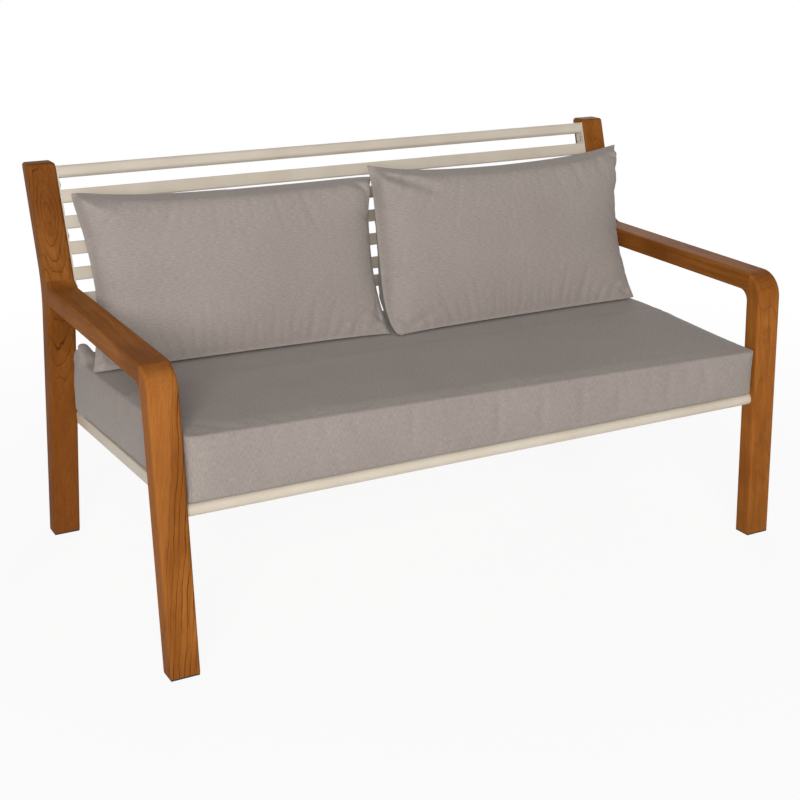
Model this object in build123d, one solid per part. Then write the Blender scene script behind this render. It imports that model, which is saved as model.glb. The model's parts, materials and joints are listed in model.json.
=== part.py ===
from build123d import *
from math import atan2, cos, degrees, hypot, radians, sin, tan
import os

# Patio loveseat: two wooden side frames, a coated metal seat frame and back frame between them,
# a box seat cushion and two loose back pillows. Millimetres and degrees.
# X runs to the right of someone facing the front, Y to the back and Z up.
# The model is drawn with Y counted from the front of the front feet, and moved at the end so
# that its origin is on the floor, in the middle of the whole.

# Overall sizes
overall_width = 1400
overall_depth = 776
overall_height = 822

# Side frames
wood_width = 58
pad_height = 4
leg_depth = 42
leg_setback = 32
arm_front_height = 578
arm_rear_height = 588
arm_thickness = 40
corner_outer_radius = 54
corner_inner_radius = 24
rear_inner_radius = 8
cove_length = 26
cove_height = 12
post_foot_depth = 42
post_splay = 120
post_recline = 74
post_top_depth = 44
post_kink_depth = 48
post_kink_drop = 8
post_kink_radius = 190
post_top_radius = 7
wood_edge_radius = 6
front_joint_setback = 33
front_joint_drop = 54

# Fits and cuts
fit_clearance = 0.1
rest_clearance = 0.3
overrun = 5
pick_tolerance = 0.5

# Foot pads, each with a pin up into the wood
pad_inset = 1.5
pad_edge_radius = 1.2
pad_pin_radius = 3
pad_pin_length = 14

# Dowels in the arm joints
dowel_radius = 5
dowel_spacing = 26
front_dowel_length = 50
front_dowel_in_leg = 18
front_dowel_drop = 25
rear_dowel_length = 56
rear_dowel_in_post = 26
rear_dowel_drop = 21
dowel_end_gap = 1

# Seat frame
tube_radius = 12.5
tube_wall = 2
tube_setback = 39.5
tube_height = 308.5
tube_drop = 23
rail_width = 25
rail_height = 25
rail_wall = 2
rail_edge_radius = 3
rail_overlap = 4
rail_front_gap = 1.5
rail_rear_gap = 4
centre_rail_width = 20
seat_slat_count = 8
seat_slat_width = 40
seat_slat_thickness = 10

# Studs that hold the seat tubes to the wood
plug_length = 32
stud_radius = 4
stud_in_wood = 28
stud_in_plug = 26

# Back frame
slat_height_share = 0.5
slat_thickness = 11
slat_edge_radius = 2.5
slat_wall = 1.6
slat_count = 5
slat_set_in = 3
top_rail_height = 24.5
top_rail_thickness = 22
top_rail_edge_radius = 8
top_rail_drop = 17.5
bottom_rail_drop = 69.6
slat_run_shares = (0.168, 0.867)
end_bar_width = 26
end_bar_thickness = 3
end_bar_edge_radius = 2
screw_radius = 3
screw_head_radius = 5.5
screw_head_height = 3.3
screw_length = 30
screw_gaps_below = (1.5, 3.5)

# Seat cushion
cushion_front = 20
cushion_back_gap = 5
cushion_side_gap = 1.2
cushion_thickness = 116
cushion_top_crown = 7
crown_run_front = 190
crown_run_rear = 70
crown_side_rise = 8
cushion_corner_radius = 26
cushion_top_radius = 13
cushion_bottom_radius = 18
cushion_side_draw = 4

# Back pillows
pillow_side_gap = 6
pillow_between = 8
pillow_top_drop = 41.7
pillow_top_set_in = 25.7
pillow_base_set_in = 26.7
pillow_base_depth = 114
pillow_belly_set_out = 118.7
pillow_side_draw = 8
pillow_top_draw = 9
pillow_station_shares = (-0.5, -0.45, -0.34, -0.16, 0, 0.16, 0.34, 0.45, 0.5)
pillow_thickness_shares = (0.12, 0.4, 0.74, 0.95, 1, 0.95, 0.74, 0.4, 0.12)

# Fabric covers and what fills them
cover_thickness = 1.5
fill_clearance = 0.3
pillow_seam_allowance = 8

# Worked out from the sizes above
half_width = overall_width / 2
inner_face = half_width - wood_width
side_centre = half_width - wood_width / 2
post_foot_front = overall_depth - post_foot_depth
post_front = post_foot_front - post_splay
post_rise = overall_height - arm_rear_height
recline_angle = degrees(atan2(post_recline, post_rise))
arm_slope = (arm_rear_height - arm_front_height) / (post_front - leg_setback)
parts = {}


def crossing(a, b, c, d):
    """The point where the line through a and b meets the line through c and d."""
    ab = (b[0] - a[0], b[1] - a[1])
    cd = (d[0] - c[0], d[1] - c[1])
    along = ((c[0] - a[0]) * cd[1] - (c[1] - a[1]) * cd[0]) / (ab[0] * cd[1] - ab[1] * cd[0])
    return (a[0] + along * ab[0], a[1] + along * ab[1])


def along_line(a, b, height):
    """The point at a given height on the line through a and b."""
    return (a[0] + (b[0] - a[0]) * (height - a[1]) / (b[1] - a[1]), height)


def arm_top_at(y):
    """Height of the armrest's top face at a distance from the front."""
    return arm_front_height + arm_slope * (y - leg_setback)


def rounded(face, point, radius):
    """A flat face with the corner nearest a point rounded."""
    corner = face.vertices().sort_by_distance(Vector(point[0], point[1], 0))[0]
    return fillet(corner, radius)


def rod(radius, length):
    """A round bar along X, centred on the origin."""
    return Rot(Y=90) * Cylinder(radius, length)


def bar(length, depth, height, radius):
    """A bar along X with its four long edges rounded."""
    box = Box(length, depth, height)
    return fillet(box.edges().filter_by(Axis.X), radius)


def tube_bar(length, depth, height, radius, wall):
    """A closed-section bar along X, open at both ends."""
    core = bar(length + 2 * overrun, depth - 2 * wall, height - 2 * wall, radius - wall)
    return bar(length, depth, height, radius) - core


# Outline of a side frame, seen from the side
foot_front = (0, pad_height)
corner_top = (leg_setback, arm_front_height)
foot_back = (leg_depth, pad_height)
leg_back_top = (leg_setback + leg_depth, arm_front_height)
post_foot = (post_foot_front, pad_height)
post_bend = (post_front, arm_rear_height)
post_top_front = (post_front + post_recline, overall_height)
post_top_back = (post_top_front[0] + post_top_depth, overall_height)
post_kink = (post_front + post_kink_depth, arm_rear_height - post_kink_drop)
post_heel = (overall_depth, pad_height)
under_a = (leg_setback, arm_front_height - arm_thickness)
under_b = (post_front, arm_rear_height - arm_thickness)
under_front = crossing(under_a, under_b, foot_back, leg_back_top)
under_rear = crossing(under_a, under_b, post_foot, post_bend)
cove_start = (post_front - cove_length, arm_top_at(post_front - cove_length))
cove_end = along_line(post_bend, post_top_front, arm_rear_height + cove_height)


def side_frame():
    """Leg, armrest and post as one rounded blank, X from the outer face to the inner face."""
    front = Polyline(cove_start, corner_top, foot_front, foot_back, under_front, under_rear,
                     post_foot, post_heel, post_kink, post_top_back, post_top_front, cove_end)
    cove = TangentArc(cove_start, cove_end, tangent=(1, arm_slope))
    face = make_face(front + cove)
    face = rounded(face, corner_top, corner_outer_radius)
    face = rounded(face, under_front, corner_inner_radius)
    face = rounded(face, under_rear, rear_inner_radius)
    face = rounded(face, post_kink, post_kink_radius)
    face = rounded(face, post_top_back, post_top_radius)
    face = rounded(face, post_top_front, post_top_radius)
    blank = extrude(Plane.YZ * face, wood_width)
    flanks = blank.faces().sort_by(Axis.X)
    rims = flanks[0].edges() + flanks[-1].edges()
    rims = rims.filter_by(lambda edge: edge.center().Z > pad_height + pick_tolerance)
    return Pos(-half_width, 0, 0) * fillet(rims, wood_edge_radius)


def region(points):
    """A block as wide as a side frame and a little more, to share the blank out with."""
    block = extrude(Plane.YZ * make_face(Polyline(*points, close=True)), wood_width + 2 * overrun)
    return Pos(-half_width - overrun, 0, 0) * block


# Joint planes: the armrest butts on the back of the front leg, and on the post at its bend
joint_top = (leg_setback + front_joint_setback, arm_top_at(leg_setback + front_joint_setback))
joint_low = along_line(foot_back, leg_back_top, arm_front_height - front_joint_drop)
leg_region = region([(-overrun, 0), (-overrun, overall_height),
                     along_line(joint_top, joint_low, overall_height),
                     along_line(joint_top, joint_low, 0)])
post_region = region([(post_front, 0), post_bend,
                      along_line(post_bend, post_top_front, overall_height + overrun),
                      (overall_depth + overrun, overall_height + overrun),
                      (overall_depth + overrun, 0)])
blank = side_frame()
front_leg = blank & leg_region
rear_post = blank & post_region
armrest = blank - leg_region - post_region

# Foot pads
foot_pads = {}
for name, front_y, depth in (("front", 0, leg_depth), ("rear", post_foot_front, post_foot_depth)):
    middle = Pos(-side_centre, front_y + depth / 2, 0)
    plate = Box(wood_width - 2 * pad_inset, depth - 2 * pad_inset, pad_height,
                align=(Align.CENTER, Align.CENTER, Align.MIN))
    plate = fillet(plate.edges().filter_by(Axis.Z), pad_edge_radius)
    pin = Pos(0, 0, pad_height) * Cylinder(pad_pin_radius, pad_pin_length,
                                           align=(Align.CENTER, Align.CENTER, Align.MIN))
    hole = Cylinder(pad_pin_radius + fit_clearance, pad_height + pad_pin_length + dowel_end_gap,
                    align=(Align.CENTER, Align.CENTER, Align.MIN))
    foot_pads[name] = middle * (plate + pin)
    if name == "front":
        front_leg -= middle * hole
    else:
        rear_post -= middle * hole

# Dowels, two in each arm joint, along the armrest
arm_pitch = degrees(atan2(arm_slope, 1))
front_joint_y = leg_setback + front_joint_setback
front_dowel_centre = front_joint_y + front_dowel_length / 2 - front_dowel_in_leg
rear_dowel_centre = post_front + rear_dowel_in_post - rear_dowel_length / 2


def arm_dowels(centre_y, drop, radius, length):
    """The two dowels of one arm joint."""
    dowels = []
    for side in (-1, 1):
        place = Pos(-side_centre + side * dowel_spacing / 2, centre_y, arm_top_at(centre_y) - drop)
        dowels.append(place * Rot(X=90 + arm_pitch) * Cylinder(radius, length))
    return dowels


front_dowels = arm_dowels(front_dowel_centre, front_dowel_drop, dowel_radius, front_dowel_length)
rear_dowels = arm_dowels(rear_dowel_centre, rear_dowel_drop, dowel_radius, rear_dowel_length)
for hole in arm_dowels(front_dowel_centre, front_dowel_drop, dowel_radius + fit_clearance,
                       front_dowel_length + 2 * dowel_end_gap):
    front_leg -= hole
    armrest -= hole
for hole in arm_dowels(rear_dowel_centre, rear_dowel_drop, dowel_radius + fit_clearance,
                       rear_dowel_length + 2 * dowel_end_gap):
    rear_post -= hole
    armrest -= hole

# Seat frame: drawn level with the front tube's axis at the origin, then set on its slope.
# Its rear tube runs into the middle of the posts.
rear_tube_height = tube_height - tube_drop
rear_tube_y = along_line(post_foot, post_bend, rear_tube_height)[0] + post_foot_depth / 2
seat_run = hypot(rear_tube_y - tube_setback, tube_drop)
seat_slope = degrees(atan2(tube_drop, rear_tube_y - tube_setback))
seat_place = Pos(0, tube_setback, tube_height) * Rot(X=-seat_slope)
tube_length = 2 * (inner_face - fit_clearance)
tube = rod(tube_radius, tube_length) - rod(tube_radius - tube_wall, tube_length + 2 * overrun)
rear_place = Pos(0, seat_run, 0)
parts["seat_front_tube"] = seat_place * tube
parts["seat_rear_tube"] = seat_place * rear_place * tube

# The saddle cuts that fit the rails round the two tubes
saddle = rod(tube_radius + fit_clearance, overall_width)
saddles = saddle + rear_place * saddle


def rail_blank(low_x, high_x, start_y, end_y, height, radius):
    """A bar along Y between two planes, with its long edges rounded."""
    box = Box(high_x - low_x, end_y - start_y, height)
    box = fillet(box.edges().filter_by(Axis.Y), radius)
    return Pos((low_x + high_x) / 2, (start_y + end_y) / 2, 0) * box


def seat_rail_bore(low_x, high_x, height):
    """The hollow of a rail, right through it."""
    return Pos((low_x + high_x) / 2, seat_run / 2, 0) * Box(
        high_x - low_x - 2 * rail_wall, seat_run + 2 * overrun, height - 2 * rail_wall)


# Each side rail stands a little proud of the leg's inner face, and is notched round leg and post
rail_outer = inner_face + rail_overlap
rail_inner = rail_outer - rail_width
notch_x = inner_face - rest_clearance
leg_back = along_line(foot_back, leg_back_top, tube_height)[0]
post_face = along_line(post_foot, post_bend, rear_tube_height)[0]
rail_start = leg_back - tube_setback + rail_front_gap
rail_end = (post_face - tube_setback) / cos(radians(seat_slope)) - rail_rear_gap
side_rail = rail_blank(-rail_outer, -rail_inner, 0, seat_run, rail_height, rail_edge_radius)
for low, high in ((-overrun, rail_start), (rail_end, seat_run + overrun)):
    notch = Box(rail_outer - notch_x + overrun, high - low, rail_height + 2 * overrun)
    side_rail -= Pos(-notch_x - (rail_outer - notch_x + overrun) / 2, (low + high) / 2, 0) * notch
side_rail = side_rail - seat_rail_bore(-notch_x, -rail_inner, rail_height) - saddles
side_rail = side_rail.solids().sort_by(SortBy.VOLUME)[-1]
slat_level = rail_height / 2 - seat_slat_thickness / 2
centre_rail_height = rail_height - seat_slat_thickness - fit_clearance
centre_rail = rail_blank(-centre_rail_width / 2, centre_rail_width / 2, 0, seat_run,
                         centre_rail_height, rail_edge_radius)
centre_rail -= seat_rail_bore(-centre_rail_width / 2, centre_rail_width / 2, centre_rail_height)
centre_rail = Pos(0, 0, -(rail_height - centre_rail_height) / 2) * centre_rail - saddles
parts["seat_centre_rail"] = seat_place * centre_rail.solids().sort_by(SortBy.VOLUME)[-1]
seat_slat_pitch = seat_run / (seat_slat_count + 1)
seat_slat = tube_bar(2 * (rail_inner - fit_clearance), seat_slat_width, seat_slat_thickness,
                     slat_edge_radius, slat_wall)
for index in range(seat_slat_count):
    place = Pos(0, (index + 1) * seat_slat_pitch, slat_level)
    parts[f"seat_slat_{index + 1}"] = seat_place * place * seat_slat

# Plugs in the tube ends, and a stud from each into the leg or post
plug = rod(tube_radius - tube_wall - fit_clearance, plug_length) - rod(stud_radius + fit_clearance,
                                                                       plug_length + overrun)
plug_x = inner_face - fit_clearance - plug_length / 2
stud_length = stud_in_wood + stud_in_plug
stud_x = inner_face + (stud_in_wood - stud_in_plug) / 2
stud_hole_length = stud_length + dowel_end_gap
stud_hole = Pos(-stud_x - dowel_end_gap / 2, 0, 0) * rod(stud_radius + fit_clearance,
                                                         stud_hole_length)
plugs = []
studs = []
for side in (-1, 1):
    for place in (Pos(0, 0, 0), rear_place):
        plugs.append(seat_place * place * Pos(side * plug_x, 0, 0) * plug)
        studs.append(seat_place * place * Pos(side * stud_x, 0, 0) * rod(stud_radius, stud_length))
front_leg -= seat_place * stud_hole
rear_post -= seat_place * rear_place * stud_hole
parts["tube_end_plugs"] = Compound(plugs)
parts["tube_studs"] = Compound(studs)

# Back frame: drawn upright with the post's bend at the origin, then leant back with the post
back_place = Pos(0, post_front, arm_rear_height) * Rot(X=-recline_angle)
back_length = 2 * (inner_face - end_bar_thickness - 2 * fit_clearance)
post_slant = post_rise / cos(radians(recline_angle))
top_rail_level = post_slant - top_rail_drop
bottom_rail_level = -bottom_rail_drop
first_slat_level, last_slat_level = (
    top_rail_level - share * (top_rail_level - bottom_rail_level) for share in slat_run_shares)
slat_pitch = (first_slat_level - last_slat_level) / (slat_count - 1)
slat_height = slat_height_share * slat_pitch
slat = tube_bar(back_length, slat_thickness, slat_height, slat_edge_radius, slat_wall)
slat_depth = slat_set_in + slat_thickness / 2
top_rail = tube_bar(back_length, top_rail_thickness, top_rail_height, top_rail_edge_radius,
                    slat_wall)
top_rail_depth = slat_set_in + top_rail_thickness / 2
parts["back_top_rail"] = back_place * Pos(0, top_rail_depth, top_rail_level) * top_rail
for index in range(slat_count):
    level = first_slat_level - index * slat_pitch
    parts[f"back_slat_{index + 1}"] = back_place * Pos(0, slat_depth, level) * slat
parts["back_bottom_rail"] = back_place * Pos(0, slat_depth, bottom_rail_level) * slat

# End bars, screwed to the inner faces of the posts between the slats
bar_top = top_rail_level + top_rail_height / 2
bar_bottom = bottom_rail_level - slat_height / 2
bar_length = bar_top - bar_bottom
bar_middle = (bar_top + bar_bottom) / 2
bar_depth = slat_set_in + end_bar_width / 2
end_bar = Box(end_bar_thickness, end_bar_width, bar_length)
end_bar = fillet(end_bar.edges().filter_by(Axis.X), end_bar_edge_radius)
bar_place = Pos(-inner_face + fit_clearance + end_bar_thickness / 2, bar_depth, bar_middle)
head_gap = 2 * fit_clearance + end_bar_thickness
screw_levels = [(top_rail_level + first_slat_level) / 2]
screw_levels += [first_slat_level - gaps * slat_pitch for gaps in screw_gaps_below]
screws = []
for side in (-1, 1):
    for level in screw_levels:
        shank = rod(screw_radius, screw_length)
        head = Pos(-(screw_length + screw_head_height) / 2, 0, 0) * rod(screw_head_radius,
                                                                        screw_head_height)
        screw = Pos(inner_face - head_gap + screw_length / 2, bar_depth, level) * (shank + head)
        if side < 0:
            screw = mirror(screw, Plane.YZ)
            hole = Pos(-inner_face, bar_depth, level) * rod(screw_radius + fit_clearance,
                                                            2 * screw_length)
            end_bar -= bar_place.inverse() * hole
            rear_post -= back_place * hole
            armrest -= back_place * hole
        screws.append(back_place * screw)
end_bar = back_place * bar_place * end_bar
parts["back_frame_screws"] = Compound(screws)

# Both sides: the right is the mirror image of the left
pairs = {"front_leg": front_leg, "armrest": armrest, "rear_post": rear_post,
         "front_foot_pad": foot_pads["front"], "rear_foot_pad": foot_pads["rear"],
         "seat_side_rail": seat_place * side_rail, "back_end_bar": end_bar}
for name, solid in pairs.items():
    parts["left_" + name] = solid
    parts["right_" + name] = mirror(solid, Plane.YZ)
for name, dowels in (("arm_front_dowels", front_dowels), ("arm_rear_dowels", rear_dowels)):
    parts[name] = Compound(dowels + [mirror(dowel, Plane.YZ) for dowel in dowels])

# Seat cushion
cushion_side = inner_face - cushion_side_gap


def frame_top_at(y):
    """Height of the seat frame's top at a distance from the front."""
    rise = tube_height + tube_radius / cos(radians(seat_slope))
    return rise - tan(radians(seat_slope)) * (y - tube_setback)


def bowed(a, b, bow):
    """An arc from a to b whose middle stands off the straight line by bow, to its left."""
    run = Vector(b[0] - a[0], b[1] - a[1])
    left = Vector(-run.Y, run.X).normalized()
    middle = Vector((a[0] + b[0]) / 2, (a[1] + b[1]) / 2) + left * bow
    return ThreePointArc(a, (middle.X, middle.Y), b)


cushion_top = tube_height + tube_radius + cushion_thickness
cushion_rear = along_line(post_foot, post_bend, cushion_top)[0] - cushion_back_gap


def cushion_form(inset):
    """The cushion as what its plan, its side view and its front view have in common."""
    side_x = cushion_side - inset
    start_y = cushion_front + inset
    end_y = cushion_rear - inset
    top = cushion_top - inset
    edge = cushion_top - cushion_top_crown - inset
    low = rest_clearance + inset
    corners = ((-side_x, start_y), (side_x, start_y), (side_x, end_y), (-side_x, end_y))
    plan = Curve()
    for start, end in zip(corners, corners[1:] + corners[:1]):
        plan += bowed(start, end, cushion_side_draw)
    plan = make_face(plan)
    for corner in corners:
        plan = rounded(plan, corner, cushion_corner_radius - inset)
    side_low = ((start_y, frame_top_at(start_y) + low), (end_y, frame_top_at(end_y) + low))
    side_edge = ((start_y, edge), (end_y, edge))
    side_flat = ((start_y + crown_run_front, top), (end_y - crown_run_rear, top))
    side = Polyline(side_edge[0], side_low[0], side_low[1], side_edge[1])
    side += TangentArc(side_flat[1], side_edge[1], tangent=(1, 0)) + Line(side_flat[1], side_flat[0])
    side += TangentArc(side_flat[0], side_edge[0], tangent=(-1, 0))
    side = make_face(side)
    for corner in side_edge:
        side = rounded(side, corner, cushion_top_radius - inset)
    for corner in side_low:
        side = rounded(side, corner, cushion_bottom_radius - inset)
    front_edge = ((-side_x, edge), (side_x, edge))
    front = Polyline(front_edge[0], (-side_x, 0), (side_x, 0), front_edge[1])
    front += ThreePointArc(front_edge[1], (0, top + crown_side_rise), front_edge[0])
    front = make_face(front)
    for corner in front_edge:
        front = rounded(front, corner, cushion_top_radius - inset)
    body = extrude(Plane.YZ * side, half_width, both=True)
    body &= extrude(Plane.XZ * front, overall_depth, both=True)
    return body & extrude(plan, overall_height, both=True)


def with_cover(form, name):
    """A fabric cover as a shell, and the fill inside it."""
    parts[name + "_cover"] = form(0) - form(cover_thickness)
    parts[name + "_fill"] = form(cover_thickness + fill_clearance)


# Back pillows: thin at the side seams, full in the middle, flat where they stand on the cushion.
# Their backs lean on the lower front edge of the bottom rail.
pillow_floor = cushion_top + rest_clearance
pillow_top = overall_height - pillow_top_drop
rail_edge = (slat_set_in, bottom_rail_level - slat_height / 2)
lean = radians(recline_angle)
rest_y = post_front + rail_edge[1] * sin(lean) + rail_edge[0] * cos(lean)
rest_z = arm_rear_height + rail_edge[1] * cos(lean) - rail_edge[0] * sin(lean)
pillow_top_y = rest_y - pillow_top_set_in
pillow_base_back = rest_y - pillow_base_set_in
pillow_base_middle = pillow_base_back - pillow_base_depth / 2
pillow_lean = (pillow_top_y - pillow_base_middle) / (pillow_top - pillow_floor)


def seam_at(height):
    """How far back a pillow's side seam stands at a height, leaning towards the back frame."""
    return pillow_base_middle + pillow_lean * (height - pillow_floor)


belly_z = (pillow_floor + pillow_top) / 2
belly_half = seam_at(belly_z) - (rest_y - pillow_belly_set_out)
rest_half = rest_y - rest_clearance - seam_at(rest_z)


def pillow_section(x, share, inset):
    """One slice of a pillow, square to X: a flat base, and two arcs that meet at the top seam."""
    low = pillow_floor + inset
    high = pillow_top - inset * pillow_seam_allowance
    base_half = share * pillow_base_depth / 2 - inset
    base_front = (seam_at(low) - base_half, low)
    base_back = (seam_at(low) + base_half, low)
    belly = (seam_at(belly_z) - share * belly_half + inset, belly_z)
    rest = (seam_at(rest_z) + share * rest_half - inset, rest_z)
    top = (seam_at(high), high)
    lines = Line(base_front, base_back) + ThreePointArc(base_back, rest, top)
    lines += ThreePointArc(top, belly, base_front)
    return Pos(x, 0, 0) * (Plane.YZ * make_face(lines))


pillow_width = inner_face - pillow_side_gap - pillow_between / 2


def pillow_form(inset):
    """A pillow lofted from seam to seam, trimmed to an outline whose edges draw in."""
    width = pillow_width - 2 * inset * pillow_seam_allowance
    slices = [pillow_section(station * width, share, inset)
              for station, share in zip(pillow_station_shares, pillow_thickness_shares)]
    body = loft(slices)
    half = width / 2
    high = pillow_top
    low = pillow_floor - overrun
    outline = bowed((half, low), (half, high), pillow_side_draw)
    outline += bowed((half, high), (-half, high), pillow_top_draw)
    outline += bowed((-half, high), (-half, low), pillow_side_draw)
    outline += Line((-half, low), (half, low))
    return body & extrude(Plane.XZ * make_face(outline), overall_depth, both=True)


with_cover(cushion_form, "seat_cushion")
pillow_centre = (pillow_width + pillow_between) / 2
for name, side in (("left_pillow", -1), ("right_pillow", 1)):
    with_cover(lambda inset: Pos(side * pillow_centre, 0, 0) * pillow_form(inset), name)

# Everything on the floor, with the origin in the middle of the whole
os.makedirs("parts", exist_ok=True)
for name, solid in parts.items():
    export_step(Pos(0, -overall_depth / 2, 0) * solid, f"parts/{name}.step")
print(len(parts), "nodes")
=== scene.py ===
# %% [markdown]
# # A patio loveseat, dressed for its portrait
#
# The real object is a two-seater for a terrace: oiled hardwood side frames, a powder-coated metal
# seat and back between them, one box cushion and two loose pillows. The hard pieces come from the
# part's solid model, already the right size and in the right place, so here they only get their
# finishes. The soft pieces are made here, because cloth is a matter of looks.

# %% Load the hard pieces and remember their box
import bpy
import bmesh
import json
from math import cos, pi, sin
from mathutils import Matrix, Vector


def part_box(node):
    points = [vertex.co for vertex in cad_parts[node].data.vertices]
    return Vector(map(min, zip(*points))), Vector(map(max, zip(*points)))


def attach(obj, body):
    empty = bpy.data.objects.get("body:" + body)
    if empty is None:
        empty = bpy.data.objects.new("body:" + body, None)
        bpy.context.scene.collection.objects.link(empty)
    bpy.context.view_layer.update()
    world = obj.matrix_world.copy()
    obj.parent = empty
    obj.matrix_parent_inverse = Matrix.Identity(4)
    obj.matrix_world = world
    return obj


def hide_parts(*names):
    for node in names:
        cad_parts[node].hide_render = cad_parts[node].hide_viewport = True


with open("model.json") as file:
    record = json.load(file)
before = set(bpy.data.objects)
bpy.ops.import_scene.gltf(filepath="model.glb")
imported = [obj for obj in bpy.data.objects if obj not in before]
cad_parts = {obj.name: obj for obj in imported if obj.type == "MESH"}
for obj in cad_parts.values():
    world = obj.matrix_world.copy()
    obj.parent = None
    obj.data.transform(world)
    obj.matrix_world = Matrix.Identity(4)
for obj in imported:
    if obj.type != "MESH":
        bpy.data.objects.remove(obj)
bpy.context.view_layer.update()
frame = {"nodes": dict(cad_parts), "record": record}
nodes = frame["nodes"]
slot_of = {entry["node"]: entry["material_slot"] for entry in frame["record"]["subparts"]}

# %% [markdown]
# ## The camera
#
# The photograph was taken from the front left, well above the armrests, with a longish lens that
# looks down by about 21 degrees. The camera could be aimed by eye until it fits. Here its place,
# its turn and its focal length were worked out from the corners of the wooden frames, so it is
# simply put there. A small shift of the lens moves the picture as the photograph's crop does.

# %% Put the camera where the photographer stood
eye = Vector((-1.4289, -2.5783, 1.3031))
turn_right, look_down = 0.500, 0.361
lens_data = bpy.data.cameras.new("portrait_lens")
lens_data.sensor_width = 36
lens_data.lens = 64.93
lens_data.shift_y = 0.0625
camera = bpy.data.objects.new("portrait_camera", lens_data)
camera.location = eye
camera.rotation_euler = (pi / 2 - look_down, 0, -turn_right)
bpy.context.collection.objects.link(camera)
bpy.context.scene.camera = camera
bpy.context.scene.view_settings.view_transform = "Standard"
print("camera", tuple(round(c, 3) for c in camera.location), "lens", lens_data.lens)

# %% [markdown]
# ## Shader maths as plain arithmetic
#
# A material is a web of small sums. Wiring each one by hand hides what it does, so this class
# wraps one socket and lets ordinary signs stand for Math nodes. Vectors and colours have methods
# of their own, because a Math node would turn them into one number. Any other node comes from one
# method.


# %% A wrapped socket that does arithmetic
class Wire:
    """One output socket of a material, which +, -, * and / join to others."""

    def __init__(self, tree, socket):
        self.tree, self.socket = tree, socket

    def node(self, kind, settings=None, inputs=None, out=0):
        """Adds a node: settings first, then values or wires for its sockets, by name or number."""
        made = self.tree.nodes.new("ShaderNode" + kind)
        for name, value in (settings or {}).items():
            setattr(made, name, value)
        for name, value in (inputs or {}).items():
            if isinstance(value, Wire):
                self.tree.links.new(value.socket, made.inputs[name])
            else:
                made.inputs[name].default_value = value
        return Wire(self.tree, made.outputs[out])

    def sum_of(self, operation, a, b=0.0):
        return self.node("Math", {"operation": operation}, {0: a, 1: b})

    def __add__(self, other): return self.sum_of("ADD", self, other)
    def __radd__(self, other): return self.sum_of("ADD", other, self)
    def __sub__(self, other): return self.sum_of("SUBTRACT", self, other)
    def __rsub__(self, other): return self.sum_of("SUBTRACT", other, self)
    def __mul__(self, other): return self.sum_of("MULTIPLY", self, other)
    def __rmul__(self, other): return self.sum_of("MULTIPLY", other, self)
    def __truediv__(self, other): return self.sum_of("DIVIDE", self, other)
    def __rtruediv__(self, other): return self.sum_of("DIVIDE", other, self)

    def math(self, operation, other=0.0):
        """Any other Math node, such as a square root."""
        return self.sum_of(operation, self, other)

    def dot(self, direction):
        """How far a vector goes in a direction."""
        sockets = {0: self, 1: direction}
        return self.node("VectorMath", {"operation": "DOT_PRODUCT"}, sockets, out="Value")

    def parts(self):
        """The three numbers of a vector."""
        split = self.node("SeparateXYZ", None, {0: self})
        return [Wire(self.tree, socket) for socket in split.socket.node.outputs]

    def joined(self, x, y, z):
        """A vector of three numbers."""
        return self.node("CombineXYZ", None, {0: x, 1: y, 2: z})

    def between(self, low, high):
        """0 below low, 1 above high and smooth in between."""
        settings = {"interpolation_type": "SMOOTHSTEP"}
        return self.node("MapRange", settings, {"Value": self, "From Min": low, "From Max": high})

    def blend(self, a, b):
        """Colour a where this wire is 0, and colour b where it is 1."""
        a, b = ((*v, 1) if isinstance(v, tuple) else v for v in (a, b))
        return self.node("Mix", {"data_type": "RGBA"}, {0: self, 6: a, 7: b}, out=2)

    def noise(self, scale, detail=2.0, roughness=0.5):
        """Soft blotches, scale of them to one unit of this vector."""
        sockets = {"Vector": self, "Scale": scale, "Detail": detail, "Roughness": roughness}
        return self.node("TexNoise", None, sockets)


print("arithmetic for", Wire.__name__, "is ready")

# %% [markdown]
# ## Colours and bare materials
#
# Colours are read off a photograph or a paint chart as numbers from 0 to 255, but a shader counts
# light, so they are turned into linear numbers first. Every material starts from the standard
# shader and from the piece's own coordinates, which are metres here, because each piece's object
# sits at the origin. A pattern then keeps its real scale on every piece.


# %% Colours, and how a material starts and ends
def srgb(red, green, blue):
    """A colour as a paint chart gives it, 0 to 255, in the linear numbers that a shader takes."""
    return tuple(c / 12.92 if c <= 0.04045 else ((c + 0.055) / 1.055) ** 2.4
                 for c in (red / 255, green / 255, blue / 255))


def start_material(name):
    """An empty material with its shader, and the wire of the piece's own coordinates in metres."""
    material = bpy.data.materials.new(name)
    material.use_nodes = True
    shader = material.node_tree.nodes["Principled BSDF"]
    place = material.node_tree.nodes.new("ShaderNodeTexCoord").outputs["Object"]
    return material, shader, Wire(material.node_tree, place)


def finish_material(shader, wires):
    """Links wires to the shader's sockets, and sets plain numbers on them."""
    for name, value in wires.items():
        if isinstance(value, Wire):
            value.tree.links.new(value.socket, shader.inputs[name])
        else:
            shader.inputs[name].default_value = value


print("a middle grey of the chart is", [round(c, 3) for c in srgb(128, 128, 128)], "to a shader")

# %% [markdown]
# ## Oiled hardwood
#
# Each leg, post and armrest is sawn from one plank, so its grain runs along the piece and shows
# rings on the ends. A flat picture of wood can't do that. Instead the colour is worked out inside
# the solid: rings round a pith, bent by slow noise, then streaks, fibres and fine pores drawn out
# along the grain. Every piece is its own plank, with its own pith and direction. The two rear
# posts bend once, and their grain follows the bend for most of the way.

# %% Wood that is solid all through
post_bend_y, post_bend_z = 0.226, 0.588
post_lean_above, post_lean_below = 0.316, -0.276
grain_follows = 0.78
light_wood, middle_wood, dark_wood = srgb(166, 103, 44), srgb(130, 75, 26), srgb(60, 31, 12)


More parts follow.
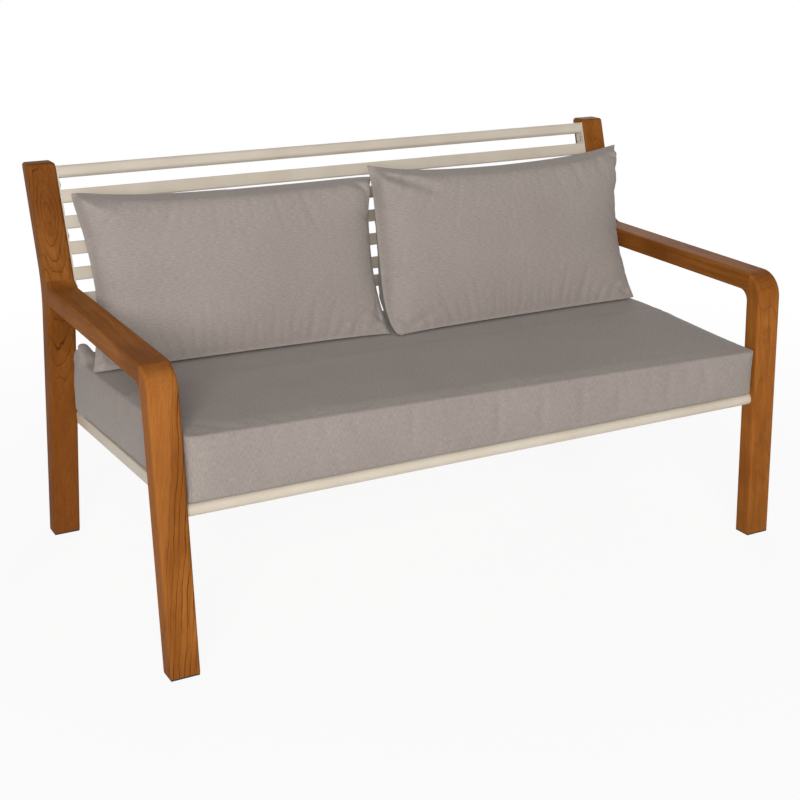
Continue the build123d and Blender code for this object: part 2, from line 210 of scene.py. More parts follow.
def straightened(place):
    """Places in a bent rear post as if the post were nearly straight."""
    x, y, z = place.parts()
    above = z * post_lean_above + (post_bend_y - post_bend_z * post_lean_above)
    below = z * post_lean_below + (post_bend_y - post_bend_z * post_lean_below)
    return place.joined(x, y - grain_follows * above.math("MAXIMUM", below), z)


def make_wood(name, grain, pith, tone, ring_width, figure, pale=None, bent=False):
    """Wood whose grain runs along a direction, with rings round a pith in or beside the plank.

    pith is where the rings' centre lies in metres, sideways and then square to that and to the
    grain. figure is how strong the ring lines are. pale is where, in metres from the pith, plain
    sapwood gives way to lined heartwood, and then the sapwood's own colour.
    """
    material, shader, place = start_material(name)
    facing = place.node("TexCoord", out="Normal")
    if bent:
        place = straightened(place)
    grain = Vector(grain).normalized()
    side_way = Vector((1, 0, 0)) - grain * grain.x
    side_way.normalize()
    along, side, deep = place.dot(grain), place.dot(side_way), place.dot(grain.cross(side_way))

    def drawn_out(across_grain, along_grain):
        """Coordinates whose noise has this many blotches to a metre across and along the grain."""
        return place.joined(side * across_grain, deep * across_grain, along * along_grain)

    slow = drawn_out(6, 3)
    bend = (slow.noise(1.0, 1.0) - 0.5) * 0.03
    wander = (drawn_out(24, 8).noise(1.0, 3.0) - 0.5) * 0.019
    off_side, off_deep = side - pith[0] + bend, deep - pith[1] + bend
    from_pith = (off_side * off_side + off_deep * off_deep).math("SQRT") + wander
    ring = (from_pith / ring_width).math("FRACT")
    soft_ring = ring.between(0.1, 0.9)
    line = ring.between(0.80, 0.93) * (1 - ring.between(0.95, 1.0))
    strong = slow.noise(3.7, 2.0).between(0.38, 0.62)
    heart = from_pith.between(*pale[:2]) if pale else 1.0
    patch = slow.noise(1.7, 3.0).between(0.34, 0.66)
    streak = drawn_out(75, 2.2).noise(1.0, 3.0, 0.6)
    fibre = drawn_out(330, 7).noise(1.0, 3.0, 0.6)
    pore = drawn_out(850, 30).noise(1.0, 2.0, 0.6).between(0.60, 0.72)
    end_grain = facing.dot(grain).math("ABSOLUTE").between(0.55, 0.95)

    light, middle, dark = (tuple(c * tone for c in chip)
                           for chip in (light_wood, middle_wood, dark_wood))
    colour = patch.blend(light, middle)
    colour = (streak.between(0.30, 0.72) * 0.65).blend(colour, middle)
    colour = (soft_ring * 0.20).blend(colour, middle)
    if pale:
        colour = ((1 - heart) * 0.62).blend(colour, tuple(c * tone for c in pale[2]))
    colour = (line * (0.25 + strong * 0.60) * heart * figure).blend(colour, dark)
    colour = (fibre.between(0.40, 0.72) * 0.20).blend(colour, dark)
    colour = (pore * 0.35).blend(colour, dark)
    colour = (end_grain * (0.18 + streak * 0.30)).blend(colour, dark)
    height = fibre * 0.6 - line * 0.5 - pore * 0.8
    bump = place.node("Bump", None, {"Strength": 0.22, "Distance": 0.0006, "Height": height})
    finish_material(shader, {"Base Color": colour, "Roughness": 0.56 + pore * 0.15 + fibre * 0.10,
                             "Normal": bump, "Specular IOR Level": 0.06})
    return material


print("wood rings follow a bend at", post_bend_z, "m, for", round(grain_follows * 100), "% of it")

# %% [markdown]
# ## A plank for each piece
#
# A sawyer would pick each plank by its figure, and so does this list. The left front leg shows
# bold heartwood lines under plain sapwood, the rear posts show nested arches, and the armrests
# and the right leg are quiet, with rings nearly flat to the face.

# %% Saw the planks
planks = {
    "left_front_leg": dict(
        grain=(0.100, 0.010, 1), pith=(-0.820, -0.352), tone=1.05, ring_width=0.0100,
        figure=1.30, pale=(0.110, 0.130, srgb(166, 103, 48))),
    "right_front_leg": dict(
        grain=(-0.030, 0.120, 1), pith=(0.676, -0.300), tone=1.13, ring_width=0.0080, figure=0.28),
    "left_armrest": dict(
        grain=(0.020, 1, 0.030), pith=(-0.740, -0.600), tone=0.93, ring_width=0.0090, figure=0.25),
    "right_armrest": dict(
        grain=(-0.012, 1, 0.006), pith=(0.700, -0.430), tone=0.93, ring_width=0.0090, figure=0.25),
    "left_rear_post": dict(
        grain=(0.016, -0.150, 1), pith=(-0.684, 0.170), tone=0.86, ring_width=0.0062,
        figure=0.85, pale=(0.078, 0.056, srgb(128, 70, 24)), bent=True),
    "right_rear_post": dict(
        grain=(-0.015, -0.120, 1), pith=(0.684, 0.165), tone=1.05, ring_width=0.0066,
        figure=0.60, pale=(0.078, 0.056, srgb(136, 80, 32)), bent=True),
}
for name, plank in planks.items():
    nodes[name].data.materials.clear()
    nodes[name].data.materials.append(make_wood("teak_" + name, **plank))
print("wood on", len(planks), "pieces, rings",
      [plank["ring_width"] * 1000 for plank in planks.values()], "mm apart")

# %% [markdown]
# ## Coatings, fixings and feet
#
# The slats and tubes are powder coated: paint baked on as dust, which leaves a soft gloss and a
# very fine orange peel. The rest is small: moulded pads, bright steel, bare dowels, and the foam
# and fibre inside the covers. Each gets a grain of its own size, so that none is a single flat
# colour.


# %% Plain finishes with a fine grain
def make_plain(name, dark, light, patches, rough, grain, depth, metal=0.0):
    """A finish whose colour and gloss drift a little over patches, with a fine grain."""
    material, shader, place = start_material(name)
    drift = place.noise(patches, 3.0)
    skin = place.noise(grain, 2.0, 0.6)
    bump = place.node("Bump", None, {"Strength": 0.25, "Distance": depth, "Height": skin})
    finish_material(shader, {
        "Base Color": drift.between(0.3, 0.7).blend(dark, light),
        "Roughness": rough + drift * 0.08, "Metallic": metal, "Normal": bump})
    return material


finishes = {
    "cream_paint": make_plain("cream_powder_coat", srgb(202, 191, 174), srgb(210, 200, 184),
                              patches=9, rough=0.38, grain=700, depth=0.00008),
    "foot_plastic": make_plain("black_pad", srgb(22, 21, 20), srgb(34, 33, 32),
                               patches=60, rough=0.55, grain=900, depth=0.0002),
    "steel": make_plain("bright_steel", srgb(150, 150, 150), srgb(185, 184, 182),
                        patches=90, rough=0.28, grain=600, depth=0.00005, metal=1.0),
    "dowel_wood": make_plain("bare_dowel", srgb(196, 160, 116), srgb(216, 184, 140),
                             patches=120, rough=0.6, grain=800, depth=0.0002),
    "plug_plastic": make_plain("dark_plug", srgb(40, 40, 41), srgb(54, 54, 55),
                               patches=60, rough=0.5, grain=700, depth=0.0001),
    "foam": make_plain("seat_foam", srgb(214, 208, 186), srgb(230, 226, 206),
                       patches=30, rough=0.9, grain=500, depth=0.001),
    "fibre": make_plain("pillow_fibre", srgb(230, 230, 226), srgb(243, 243, 240),
                        patches=30, rough=0.9, grain=400, depth=0.001),
}
for name, piece in nodes.items():
    if name not in planks and slot_of[name] in finishes:
        piece.data.materials.clear()
        piece.data.materials.append(finishes[slot_of[name]])
print("plain finishes:", ", ".join(finishes))

# %% [markdown]
# ## The cover cloth
#
# The cushion and pillows wear a dense outdoor weave in two close greys, so that it looks speckled
# from near and even from afar. Cloth has no depth, so the pattern has to lie on the surface: the
# piece's own coordinates are used in the plane that the surface faces. A fine wave both ways
# stands for the thread pairs, and noise drawn out along warp and weft gives the uneven yarn. On
# the cushion the streaks run mostly up and down, and on the pillows mostly across.


# %% A speckled weave
def make_cloth(name, light, dark, upright):
    """Two close greys; upright is how much of the streaks run up and down, the rest run across."""
    material, shader, place = start_material(name)
    x, y, z = place.parts()
    nx, ny, nz = (part.math("ABSOLUTE") for part in place.node("TexCoord", out="Normal").parts())
    faces_up = (nz - ny).between(-0.05, 0.05)
    faces_side = (nx - 0.72).between(-0.04, 0.04)
    across = x * (1 - faces_side) + y * faces_side
    up = z * (1 - faces_up) + y * faces_up
    weft = place.joined(across * 90, up * 700, faces_side * 7).noise(1.0, 2.0, 0.6)
    warp = place.joined(across * 700, up * 110, faces_side * 7).noise(1.0, 2.0, 0.6)
    speck = place.joined(across * 420, up * 420, faces_up * 5).noise(1.0, 1.0, 0.5)
    cloud = place.noise(7.0, 2.0)
    threads = (across * 3900).math("SINE") * (up * 3900).math("SINE")
    tone = weft * (1 - upright) * 0.85 + warp * (upright * 0.85) + speck * 0.25 + cloud * 0.15
    height = weft * 0.5 + warp * 0.4 + threads * 0.35
    bump = place.node("Bump", None, {"Strength": 0.35, "Distance": 0.0004, "Height": height})
    finish_material(shader, {
        "Base Color": tone.between(0.45, 0.80).blend(dark, light),
        "Roughness": 0.86 + tone * 0.06, "Normal": bump,
        "Specular IOR Level": 0.25, "Sheen Weight": 0.12, "Sheen Roughness": 0.5})
    return material


cushion_cloth = make_cloth("taupe_weave_upright", srgb(162, 153, 147), srgb(143, 133, 127), 0.80)
pillow_cloth = make_cloth("taupe_weave_across", srgb(167, 158, 152), srgb(148, 138, 132), 0.22)
print("cover cloth:", cushion_cloth.name, "and", pillow_cloth.name)

# %% [markdown]
# ## Helpers for soft pieces
#
# A cushion is two or more panels of cloth with something springy inside. It could be carved by
# hand, but the honest way to get its form is to let it inflate: a closed mesh with pressure inside
# swells until the cloth holds it. The sewn seams are held, so the panels swell between them. The
# swelling is capped, because a real cover is cut to a size.


# %% Mesh and cloth helpers
def add_piece(name, points, faces, material):
    """A smooth mesh piece with one material; points that meet are sewn into one."""
    mesh = bpy.data.meshes.new(name)
    mesh.from_pydata(points, [], faces)
    mesh.materials.append(material)
    piece = bpy.data.objects.new(name, mesh)
    bpy.context.collection.objects.link(piece)
    tidy = bmesh.new()
    tidy.from_mesh(mesh)
    bmesh.ops.remove_doubles(tidy, verts=tidy.verts, dist=0.0002)
    bmesh.ops.recalc_face_normals(tidy, faces=tidy.faces)
    if tidy.calc_volume(signed=True) < 0:
        bmesh.ops.reverse_faces(tidy, faces=tidy.faces)
    for face in tidy.faces:
        face.smooth = True
    tidy.to_mesh(mesh)
    tidy.free()
    return piece


def inflate(piece, pressure, frames, cap, held, stiffness, shrink):
    """Swells a closed piece as cloth. held(point) is how firmly a point stays, 0 to 1."""
    start = [v.co.copy() for v in piece.data.vertices]
    group = piece.vertex_groups.new(name="seam")
    for v in piece.data.vertices:
        group.add([v.index], held(v.co), "REPLACE")
    cloth = piece.modifiers.new("swell", "CLOTH")
    settings = cloth.settings
    settings.quality = 6
    settings.mass = 0.25
    settings.tension_stiffness = settings.compression_stiffness = stiffness
    settings.shear_stiffness = stiffness / 2
    settings.bending_stiffness = 0.6
    settings.tension_damping = settings.compression_damping = settings.shear_damping = 25
    settings.air_damping = 5
    settings.use_pressure = True
    settings.uniform_pressure_force = pressure
    settings.effector_weights.gravity = 0
    settings.vertex_group_mass = "seam"
    settings.shrink_min = shrink
    cloth.point_cache.frame_start, cloth.point_cache.frame_end = 1, frames
    for moment in range(1, frames + 1):
        bpy.context.scene.frame_set(moment)
    swollen = piece.evaluated_get(bpy.context.evaluated_depsgraph_get()).to_mesh()
    furthest = 0.0
    for v, old, new in zip(piece.data.vertices, start, swollen.vertices):
        move = new.co - old
        if move.length > cap:
            move *= cap / move.length
        v.co = old + move
        furthest = max(furthest, move.length)
    piece.modifiers.remove(cloth)
    piece.vertex_groups.remove(group)
    bpy.context.scene.frame_set(1)
    print(piece.name, "swelled by up to", round(furthest * 1000, 1), "mm")


def round_off(piece):
    """One subdivision, applied, so that the swollen mesh reads as cloth."""
    finer = piece.modifiers.new("finer", "SUBSURF")
    finer.levels = finer.render_levels = 1
    shown = piece.evaluated_get(bpy.context.evaluated_depsgraph_get())
    mesh = bpy.data.meshes.new_from_object(shown)
    piece.modifiers.remove(finer)
    piece.data = mesh


print("soft helpers:", ", ".join(f.__name__ for f in (add_piece, inflate, round_off)))

# %% [markdown]
# ## Soft starts and soft ends
#
# Nothing on a cushion starts or ends sharply. A step between two values that is smooth at both
# ends, and a curve that fades out, draw nearly all of its form: where a panel begins to sag, how
# far a fold runs, how a corner stands out.


# %% Small measures that all soft pieces use
def smooth_step(low, high, value):
    """0 at low, 1 at high and smooth in between; low may be the larger one."""
    t = min(1.0, max(0.0, (value - low) / (high - low)))
    return t * t * (3 - 2 * t)


def fade(distance):
    """1 at no distance, about a third at 1 and next to nothing at 4."""
    return 2.718 ** -distance


def rounded(point):
    """A point to a tenth of a millimetre, to look it up in a set of seam points."""
    return tuple(round(c, 4) for c in point)


print("fades at 0, 1 and 4:", [round(fade(d), 3) for d in (0, 1, 4)])

# %% [markdown]
# ## The seat cushion
#
# It is a box of foam in a zipped cover: top and bottom panels, and a band between them. The
# underside follows the seat frame. The top is a little crowned, fuller at the front left and sunk
# along its left end. Behind pillow_zone_y it is level, because the pillows stand there. Both
# heights could be painted on by hand, but two small functions can also tell later where the cloth
# rests and what holds it.

# %% Measure the seat cushion
cover_low, cover_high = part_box("seat_cushion_cover")
front_y, rear_y = cover_low[1], cover_high[1]
cushion_half = (cover_high[0] - cover_low[0]) / 2
cushion_half_thick = 0.058
corner_radius, edge_radius = 0.016, 0.006
seam_reach = 0.0035
pillow_zone_y = 0.050
seat_level = 0.4366
frame_level, frame_fall = 0.3215, 0.0225
print("cushion solid", [round(c, 4) for c in cover_low], [round(c, 4) for c in cover_high])


def seat_height(x, y):
    """Height of the cushion's top: fuller at the front left, level where the pillows stand."""
    run = smooth_step(pillow_zone_y, front_y, y)
    to_pillows = min(1.0, max(0.0, (y - front_y) / (pillow_zone_y - front_y)))
    crown = (1 - (x / cushion_half) ** 4) * sin(pi * to_pillows) ** 1.6
    worn = (smooth_step(0.80, 1.0, -x / cushion_half)
            * smooth_step(front_y + 0.05, front_y + 0.15, y))
    slope = seat_level + run * (-0.0015 - 0.0145 * x / cushion_half)
    return slope + 0.004 * crown - 0.011 * worn * run ** 0.5


def frame_height(x, y):
    """Height of the seat frame below it, which falls towards the back; the front edge turns up."""
    run = (y - front_y) / (rear_y - front_y)
    turn_up = 0.0040 * (1 - smooth_step(front_y, front_y + 0.020, y))
    return frame_level - frame_fall * run + turn_up


print("cushion middle", round(seat_height(0, -0.15), 4), "over a frame at",
      round(frame_height(0, -0.15), 4))

# %% [markdown]
# ## Drawing its cover
#
# A plain box would look like a block, so each point of a box is moved to where the used cover
# lies: edges and corners are rounded, the band is drawn in by a few millimetres, and the left side
# bulges out under the armrest. The rows of points stand close by the seams, where the form turns
# quickly, and even between them.


# %% Draw the seat cushion's cover
def rows(half_size):
    """Places from end to end: close rows by the sewn edges and even ones between them."""
    close = (0.0, 0.003, 0.006, 0.011)
    cell = 0.0095
    inner = half_size - 0.018
    count = round(2 * inner / cell)
    even = [-inner + 2 * inner * i / count for i in range(count + 1)]
    return [-half_size + c for c in close] + even + [half_size - c for c in reversed(close)]


def shape_cover(p, size):
    """Moves a point of a plain box onto the cushion's rounded, crowned form."""
    core = Vector([max(-s + edge_radius, min(s - edge_radius, c)) for c, s in zip(p, size)])
    out = p - core
    if out.length > edge_radius:
        p = core + out.normalized() * edge_radius
    dx, dy = abs(p.x) - (size.x - corner_radius), abs(p.y) - (size.y - corner_radius)
    if dx > 0 and dy > 0:
        shrink = max(dx, dy) / (dx * dx + dy * dy) ** 0.5
        p.x -= (dx - dx * shrink) * (1 if p.x > 0 else -1)
        p.y -= (dy - dy * shrink) * (1 if p.y > 0 else -1)
    u, v, level = p.x / size.x, p.y / size.y, p.z / size.z
    draw = (0.0035 if u < 0 else 0.0010) * (1 - level ** 2)
    x = p.x - draw * smooth_step(0.97, 1.0, abs(u)) * (1 if u > 0 else -1)
    y = p.y - draw * smooth_step(0.95, 1.0, abs(v)) * (1 if v > 0 else -1)
    y += (front_y + rear_y) / 2
    squeezed_out = smooth_step(front_y + 0.08, rear_y - 0.12, y) * smooth_step(0.80, 1.0, -u)
    bulge = 0.022 - 0.006 * smooth_step(0.0, 0.9, level)
    x -= squeezed_out * bulge * smooth_step(-1.04, -0.66, level)
    rise = (p.z + size.z) / (2 * size.z)
    return Vector((x, y, frame_height(x, y) * (1 - rise) + seat_height(x, y) * rise))


def box_cover():
    """Points and faces of the cover, with the points on its seams."""
    size = Vector((cushion_half, (rear_y - front_y) / 2, cushion_half_thick))
    lines = [rows(c) for c in size]
    points, faces, seams = [], [], set()
    for axis in range(3):
        across, up = [k for k in range(3) if k != axis]
        for end in (-1, 1):
            base, width = len(points), len(lines[across])
            for b in lines[up]:
                for a in lines[across]:
                    p = [0.0, 0.0, 0.0]
                    p[axis], p[across], p[up] = end * size[axis], a, b
                    points.append(shape_cover(Vector(p), size))
                    if sum(abs(c) > s - seam_reach for c, s in zip(p, size)) > 1:
                        seams.add(rounded(points[-1]))
            for j in range(len(lines[up]) - 1):
                for i in range(width - 1):
                    a = base + j * width + i
                    faces.append((a, a + 1, a + 1 + width, a + width))
    return points, faces, seams


points, faces, seams = box_cover()
seat_cushion = add_piece("seat_cushion", points, faces, cushion_cloth)
print("cushion drawn with", len(faces), "faces and", len(seams), "seam points")

# %% [markdown]
# ## Swelling the cushion
#
# Foam fills its cover tightly, so the cushion swells by a few millimetres only. Its seams hold,
# and so do the base on the frame and the top where the pillows press on it. The cover is loose at
# the rear left corner and stands up in a fold there. A simulation would put that fold anywhere,
# so it is lifted afterwards, as a hump with two small waves.

# %% Swell the seat cushion and lift its loose rear corner
fold_start_x, fold_rise, fold_lean = -0.612, 0.042, 0.005


def cushion_hold(point):
    """Seams hold, and so do the base on the frame and the top under the pillows."""
    if rounded(point) in seams or point.z < frame_height(point.x, point.y) + 0.003:
        return 1.0
    return smooth_step(pillow_zone_y - 0.14, pillow_zone_y, point.y) if point.z > 0.43 else 0.0


inflate(seat_cushion, 10.0, 10, 0.007, cushion_hold, stiffness=20.0, shrink=-0.008)
for v in seat_cushion.data.vertices:
    near = (smooth_step(fold_start_x, -cushion_half, v.co.x) * smooth_step(0.165, 0.185, v.co.y)
            * (1 - smooth_step(0.205, 0.240, v.co.y)) * smooth_step(0.41, seat_level, v.co.z))
    v.co.z += fold_rise * near * (0.74 + 0.26 * sin(v.co.y * 230))
    v.co.x += fold_lean * near * sin(v.co.y * 190)
round_off(seat_cushion)
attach(seat_cushion, "seat_cushion")
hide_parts("seat_cushion_cover", "seat_cushion_fill")
print("seat cushion:", len(seat_cushion.data.vertices), "points")

# %% [markdown]
# ## The back pillows
#
# Each is the simplest pillow there is: two equal panels sewn round the edge, with a narrow lip,
# and filled with loose fibre. It could be modelled leaning in its place, but a pillow is easier
# to get right as it is sewn, lying flat. The corners stand out as ears, and each ear has its own
# height and is tucked in by its own amount, because no two of the real ones are alike.

# %% Draw a pillow flat
pillow_half_wide, pillow_half_high = 0.316, 0.172
seam_lip, lip_gap = 0.0045, 0.0008
columns, lines_up = 90, 52
inner_u, inner_v = (1 - seam_lip / half for half in (pillow_half_wide, pillow_half_high))


def ear(distance, reach=0.055):
    """How far a sewn edge stands out near a corner, as a share of the whole ear."""
    return fade(distance / reach)


def places(inner, count):
    """Even places from lip to lip, and the seam at both ends, as shares of the half size."""
    return [-1] + [inner * (2 * i / count - 1) for i in range(count + 1)] + [1]


def panels_apart(u, v):
    """Half the gap between the panels: nothing at the seam, a hair in the lip, most inside."""
    inside = max(0.0, 1 - (u / inner_u) ** 2) * max(0.0, 1 - (v / inner_v) ** 2)
    if inside < 1e-9:
        return 0.0 if abs(u) == 1 or abs(v) == 1 else lip_gap
    return 0.046 * inside ** 0.62


def panel_outline(u, v, corners, draws):
    """Where a share of the pillow's width and height lies in its plane."""
    to_side, to_end = pillow_half_wide * (1 - abs(u)), pillow_half_high * (1 - abs(v))
    draw = draws[0] if u < 0 else draws[1]
    draw *= (1 - v * v) * smooth_step(-1.0, -0.2, v) if draw > 0 else (1 - v ** 4) * (1 - v)
    x = u * (pillow_half_wide + (0.020 if v > 0 else 0.011) * ear(to_end) - draw * abs(u) ** 1.5)
    ear_height, tuck_x, tuck_z = corners[u > 0, v > 0]
    z = v * (pillow_half_high + ear_height * ear(to_side, 0.090 if v > 0 else 0.055))
    tip = ear(to_side * 2.2) * ear(to_end * 2.2)
    tuck_x, tuck_z = tuck_x * tip, tuck_z * tip
    return x - tuck_x * (1 if u > 0 else -1), z - tuck_z * (1 if v > 0 else -1)


def flat_pillow(name, corners, draws):
    """Two panels sewn together; a draw above 0 hollows the left or right side, one below fills it.

    For each corner, corners holds how high its ear stands, and how far its tip is tucked in
    sideways and lengthways.
    """
    us, vs = places(inner_u, columns), places(inner_v, lines_up)
    points, faces, seams = [], [], set()
    for side in (-1, 1):
        base = len(points)
        for v in vs:
            for u in us:
                x, z = panel_outline(u, v, corners, draws)
                apart = panels_apart(u, v)
                points.append((x, side * apart, z))
                if apart < 0.001:
                    seams.add(rounded(points[-1]))
        for j in range(len(vs) - 1):
            for i in range(len(us) - 1):
                a = base + j * len(us) + i
                quad = (a, a + 1, a + len(us) + 1, a + len(us))
                faces.append(quad if side < 0 else quad[::-1])
    return add_piece(name, points, faces, pillow_cloth), seams


print("pillow panels of", columns, "by", lines_up, "cells, a lip of", seam_lip * 1000, "mm")

# %% [markdown]
# ## Swelling a pillow
#
# Loose fibre pushes on large thin panels, so a pillow swells far more than the cushion. Pressure
# alone makes a balloon. The swollen depth is therefore drawn again as a share of the deepest
# place: the front is fullest towards its upper edge, the back is even, and both stay full near the
# left and right ends. Then the folds that run in from the corners are pressed into the front.

# %% Swell a pillow and press its folds
pillow_half_depth = 0.064


def crease(pillow, start, end, width, depth):
    """Presses a fold into the front panel from start to end, fading out towards end."""
    start, end = Vector(start), Vector(end)
    run = end - start
    for v in pillow.data.vertices:
        if v.co.y < -0.001:
            spot = Vector((v.co.x, v.co.z)) - start
            t = max(0.0, min(1.0, spot.dot(run) / run.length_squared))
            away = (spot - run * t).length / width
            v.co.y += depth * (1 - t) * (fade(away ** 2) - 0.45 * fade((away - 1.9) ** 2))


def swollen_pillow(name, corners, draws, creases):
    """A pillow that lies flat, swollen and creased, with its front towards -Y."""
    pillow, seams = flat_pillow(name, corners, draws)
    inflate(pillow, 40.0, 16, 0.035, lambda p: float(rounded(p) in seams),
            stiffness=30.0, shrink=-0.018)
    deepest = max(abs(v.co.y) for v in pillow.data.vertices)
    for v in pillow.data.vertices:
        if abs(v.co.y) > 0.001:
            near_end = (smooth_step(0.14, 0.31, abs(v.co.x))
                        * (1 - smooth_step(0.08, 0.15, abs(v.co.z))))
            fullness = 0.64 - 0.36 * smooth_step(0.06, 0.150, v.co.z) if v.co.y < 0 else 0.50
            fullness -= (0.12 if v.co.x < 0 else 0.03) * near_end
            share = ((abs(v.co.y) - 0.001) / (deepest - 0.001)) ** fullness
            v.co.y = (0.001 + pillow_half_depth * share) * (1 if v.co.y > 0 else -1)
    for fold in creases:
        crease(pillow, *fold)
    print(name, "width", round(pillow.dimensions.x, 3), "height", round(pillow.dimensions.z, 3),
          "deepest before scaling", round(deepest, 3))
    return pillow


print("a pillow's half depth is", pillow_half_depth * 1000, "mm")

# %% [markdown]
# ## Standing a pillow against the back
#
# A pillow that stands on a seat isn't a flat board. Its lower edge lies forward and curls, the
# fill settles on the cushion, and its back is stopped by the slats. So the flat pillow is bent
# along a curve from its lower seam to its upper one, flattened softly where it would sink into the
# seat, and pushed forward softly where it would pass the back rails. Each end has its own curl,
# because a pillow never stands quite straight.

# %% Bend a pillow to its lean
half_deep = 0.388
seat_top = 0.4373
seam_top_y, seam_top_z = 0.563 - half_deep, 0.759
rail_y, rail_z = 0.592 - half_deep, 0.5106
back_lean = 0.3162
upright_angle, curl_reach = 0.165, 0.085
settle = 0.010


def lean_curve(curl):
    """The bent line from a pillow's lower seam to its upper one, as (y, z, angle) every 2 mm."""
    step, lift = 0.002, 0.0025
    line = [(0.0, 0.0, curl)]
    while line[-1][1] < seam_top_z - seat_top - lift:
        y, z, _ = line[-1]
        angle = upright_angle + (curl - upright_angle) * fade(len(line) * step / curl_reach)
        line.append((y + step * sin(angle), z + step * cos(angle), angle))
    shift = seam_top_y - line[-1][0]
    return [(y + shift, z + seat_top + lift, angle) for y, z, angle in line]


def on_line(line, share):
    """The (y, z, angle) at a share of the line's length, which may lie past its ends."""
    spot = share * (len(line) - 1)
    index = int(min(len(line) - 2, max(0, spot)))
    part = spot - index
    (y0, z0, a0), (y1, z1, a1) = line[index], line[index + 1]
    return y0 + (y1 - y0) * part, z0 + (z1 - z0) * part, a0 + (a1 - a0) * min(1, max(0, part))


def set_pillow(pillow, centre_x, curls, twists):
    """Bends a pillow to its lean, lays its base on the seat and keeps its back off the rail."""
    verts = pillow.data.vertices
    middle_high = [v.co.z for v in verts if abs(v.co.x) < 0.02]
    low, high = min(middle_high), max(middle_high)
    half_wide = max(abs(v.co.x) for v in verts)
    lines = [lean_curve(curl) for curl in curls]
    for v in verts:
        x, y, z = v.co
        share = (x / half_wide + 1) / 2
        ends = [on_line(line, (z - low) / (high - low)) for line in lines]
        seam_y, seam_z, angle = (p + (q - p) * share for p, q in zip(*ends))
        if y > 0:
            y *= 1 + 0.55 * fade(((z - low - 0.09) / 0.08) ** 2)
        place_y = seam_y + y * cos(angle) + twists[0] * (1 - share) + twists[1] * share
        place_z = seam_z - y * sin(angle)
        if place_z < seat_top + settle:
            place_z = seat_top + settle * fade((seat_top + settle - place_z) / settle)
        wall = rail_y - 0.0008 + max(0.0, place_z - rail_z) * back_lean
        if place_y > wall - settle:
            place_y = wall - settle * fade((place_y - wall + settle) / settle)
        v.co = (centre_x + x, place_y, place_z)
    pillow.data.update()
    box = [[round(f(v.co[k] for v in verts), 3) for k in range(3)] for f in (min, max)]
    print(pillow.name, "now lies in", box)


print("a lean curve of", len(lean_curve(0.9)), "points, up to", seam_top_z, "m")

# %% [markdown]
# ## Both pillows
#
# All that tells the two pillows apart is written down here: their ears, how their sides draw in,
# their folds, and how they stand. The left one has a high outer ear, and its other upper corner
# is pressed flat by its neighbour. The right one stands a little forward at its inner end.

# %% Make both pillows
left, right = False, True
lower, upper = False, True
pillow_plans = {
    "left_pillow": dict(
        corners={(left, upper): (0.032, 0.018, 0.014), (right, upper): (0.004, 0.002, 0.004),
                 (left, lower): (0.010, -0.012, 0.006), (right, lower): (0.010, 0.012, 0.000)},
        draws=(0.020, 0.002),
        creases=[((-0.322, 0.184), (-0.200, 0.100), 0.016, -0.007),
                 ((-0.300, 0.186), (-0.150, 0.150), 0.010, 0.004),
                 ((0.310, -0.168), (0.200, -0.135), 0.007, 0.005),
                 ((0.316, -0.150), (0.235, -0.090), 0.007, 0.004)],
        stand=dict(centre_x=-0.3255, curls=(0.78, 0.92), twists=(0.024, 0.004))),
    "right_pillow": dict(
        corners={(left, upper): (0.032, 0.002, 0.004), (right, upper): (0.028, 0.006, 0.006),
                 (left, lower): (0.010, 0.006, 0.000), (right, lower): (0.010, 0.014, 0.010)},
        draws=(-0.009, -0.001),
        creases=[((-0.322, 0.186), (-0.150, 0.118), 0.010, 0.014),
                 ((0.312, -0.170), (0.220, -0.120), 0.008, 0.005),
                 ((-0.312, -0.030), (-0.235, -0.045), 0.009, 0.005),
                 ((-0.300, -0.168), (-0.200, -0.130), 0.009, 0.005)],
        stand=dict(centre_x=0.3215, curls=(0.95, 1.02), twists=(-0.014, 0.0))),
}
for name, plan in pillow_plans.items():
    pillow = swollen_pillow(name, plan["corners"], plan["draws"], plan["creases"])
    set_pillow(pillow, **plan["stand"])
    round_off(pillow)
    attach(pillow, name)
    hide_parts(name + "_cover", name + "_fill")

# %% [markdown]
# ## Floor and backdrop
#
# The photograph is a cut-out on white. The floor here is pale and catches a faint shadow, and it
# turns to plain white away from the loveseat. A white backdrop could be had by turning the light
# up, but that would bleach the cream frame. Instead the camera's own rays, also those that come by
# way of a mirror or through glass, meet a plain white, and the light on the object stays even.


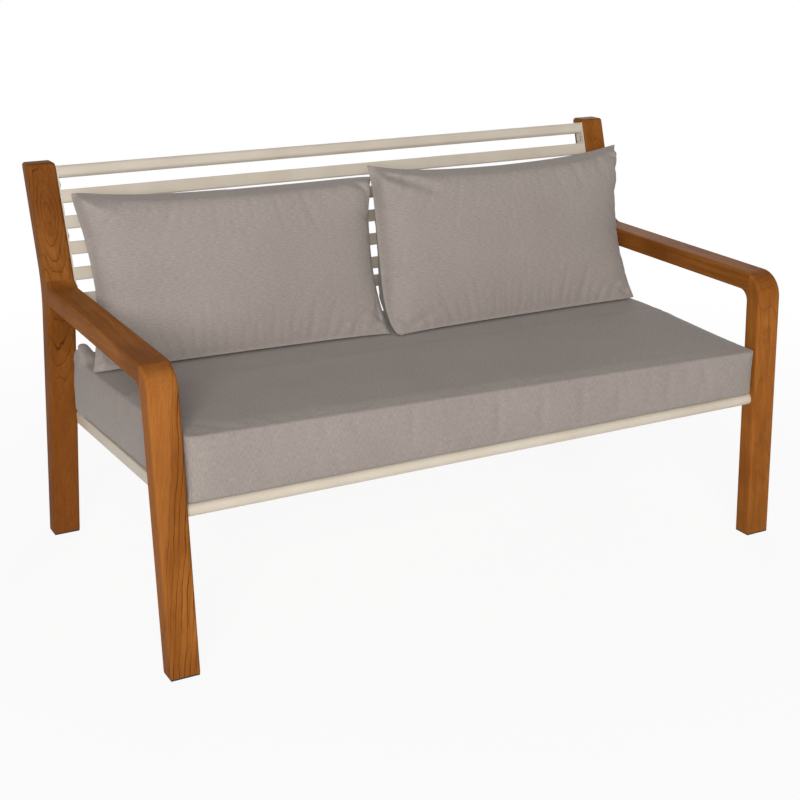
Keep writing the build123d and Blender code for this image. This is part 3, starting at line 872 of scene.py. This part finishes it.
# %% Build the floor and the backdrop
def white_where_seen(tree, plain, kind, share, output):
    """Puts white in place of a plain shader, by a share, for the rays that the camera sees."""
    outs = tree.nodes.new("ShaderNodeLightPath").outputs
    rays = [Wire(tree, outs[name])
            for name in ("Is Camera Ray", "Is Glossy Ray", "Is Transmission Ray")]
    seen = (rays[0] + rays[1] + rays[2]).math("MINIMUM", 1.0)
    white = seen.node(kind, None, {"Color": (1, 1, 1, 1), "Strength": 1.0})
    sockets = {0: seen * share, 1: Wire(tree, plain.outputs[0]), 2: white}
    mixed = seen.node("MixShader", None, sockets)
    tree.links.new(mixed.socket, tree.nodes[output].inputs["Surface"])


def make_floor():
    """Pale paint that drifts a little, and is whiter the further it is from the loveseat."""
    material, shader, place = start_material("studio_floor")
    paint = place.noise(0.8, 1.0).between(0.2, 0.8).blend((0.93, 0.93, 0.93), (0.95, 0.95, 0.95))
    finish_material(shader, {"Base Color": paint, "Roughness": 0.9})
    x, y = place.parts()[:2]
    distance = (x * x + y * y).math("SQRT")
    share = 0.90 + distance.between(0.7, 2.6) * 0.10
    white_where_seen(place.tree, shader, "Emission", share, "Material Output")
    return material


floor_corners = [(-9, -9, 0), (9, -9, 0), (9, 9, 0), (-9, 9, 0)]
floor = add_piece("studio_floor", floor_corners, [(0, 1, 2, 3)], make_floor())

sky_strength = 0.24
world = bpy.data.worlds.new("studio_sky")
bpy.context.scene.world = world
world.use_nodes = True
sky = world.node_tree.nodes["Background"]
sky.inputs["Color"].default_value = (1.0, 0.99, 0.98, 1)
sky.inputs["Strength"].default_value = sky_strength
white_where_seen(world.node_tree, sky, "Background", 1.0, "World Output")
print("floor", floor.name, "and sky", world.name, "of strength", sky_strength)

# %% [markdown]
# ## Lamps
#
# The loveseat was lit softly from the front. One big soft lamp stands at the front left, a weak
# one opens the shadows from behind, and the sky does the rest, so that colours come out about as
# they were chosen.


# %% Hang the lamps
def add_lamp(name, place, size, power, colour):
    """A round soft lamp that points at the middle of the loveseat."""
    lamp = bpy.data.lights.new(name, "AREA")
    lamp.shape, lamp.size, lamp.energy, lamp.color = "DISK", size, power, colour
    stand = bpy.data.objects.new(name, lamp)
    stand.location = place
    target = Vector((0, 0, 0.45))
    stand.rotation_euler = (target - Vector(place)).to_track_quat("-Z", "Y").to_euler()
    bpy.context.collection.objects.link(stand)


add_lamp("key_softbox", (-3.30, -5.85, 2.70), 3.4, 390, (1.0, 0.99, 0.975))
add_lamp("back_softbox", (2.4, 3.4, 1.6), 2.6, 45, (1.0, 0.99, 0.98))
